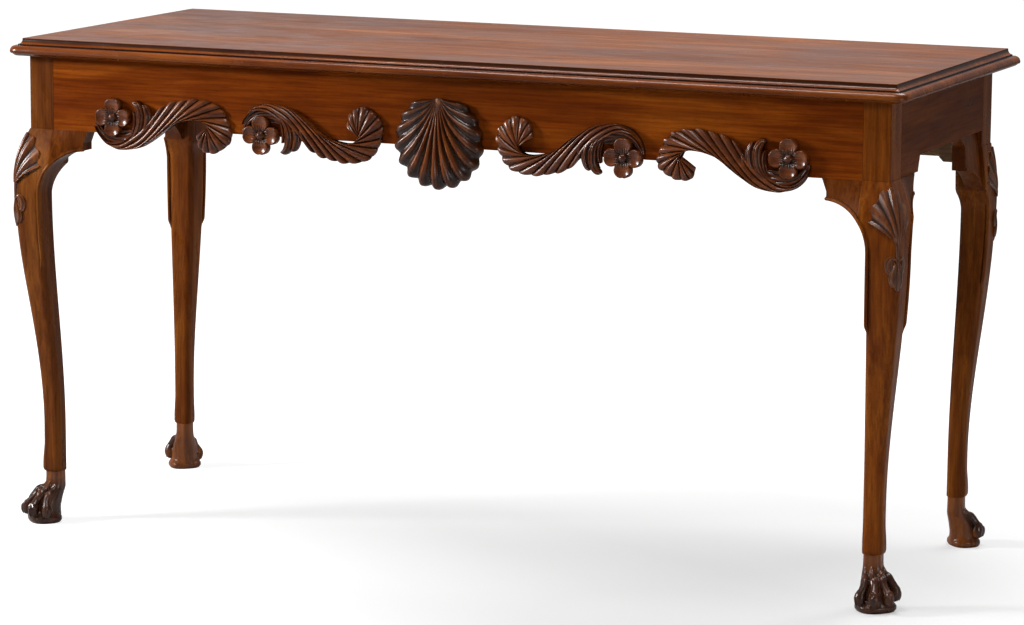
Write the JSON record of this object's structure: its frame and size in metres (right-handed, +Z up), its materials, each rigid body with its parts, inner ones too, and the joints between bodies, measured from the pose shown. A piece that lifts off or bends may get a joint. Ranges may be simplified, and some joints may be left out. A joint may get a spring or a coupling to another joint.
{
  "type": "side table",
  "caption": "Long side table with a moulded top, a frieze carved with a scallop shell and leaf scrolls, and cabriole legs that end in paw feet.",
  "frame": {"origin": "On the floor, under the middle of the top board's outline.", "axes": "+X runs along the length to the viewer's right, +Y runs from the carved front to the plain back, +Z is up."},
  "size_m": [1.5, 0.595, 0.79],
  "materials": {
    "top_mahogany": "satin polished reddish brown mahogany, grain along the length",
    "frame_mahogany": "polished golden brown mahogany, grain along each rail",
    "leg_mahogany": "polished golden brown mahogany, grain up the leg",
    "carved_mahogany": "glossy dark reddish brown carved mahogany",
    "inner_wood": "plain planed wood, unpolished",
    "steel": "plain steel"
  },
  "bodies": {
    "root": {"top_board": "top_mahogany", "front_rail": "frame_mahogany", "back_rail": "inner_wood", "central_shell": "carved_mahogany", "front_glue_blocks": "inner_wood", "back_glue_blocks": "inner_wood", "side_glue_blocks": "inner_wood", "top_screws": "steel", "right_side_rail": "frame_mahogany", "left_side_rail": "frame_mahogany", "right_front_leg": "leg_mahogany", "left_front_leg": "leg_mahogany", "right_back_leg": "leg_mahogany", "left_back_leg": "leg_mahogany", "right_front_leg_front_bracket": "leg_mahogany", "left_front_leg_front_bracket": "leg_mahogany", "right_front_leg_side_bracket": "leg_mahogany", "left_front_leg_side_bracket": "leg_mahogany", "right_back_leg_side_bracket": "leg_mahogany", "left_back_leg_side_bracket": "leg_mahogany", "right_outer_scroll": "carved_mahogany", "left_outer_scroll": "carved_mahogany", "right_inner_scroll": "carved_mahogany", "left_inner_scroll": "carved_mahogany", "right_front_corner_block": "inner_wood", "left_front_corner_block": "inner_wood", "right_back_corner_block": "inner_wood", "left_back_corner_block": "inner_wood"}
  },
  "joints": []
}
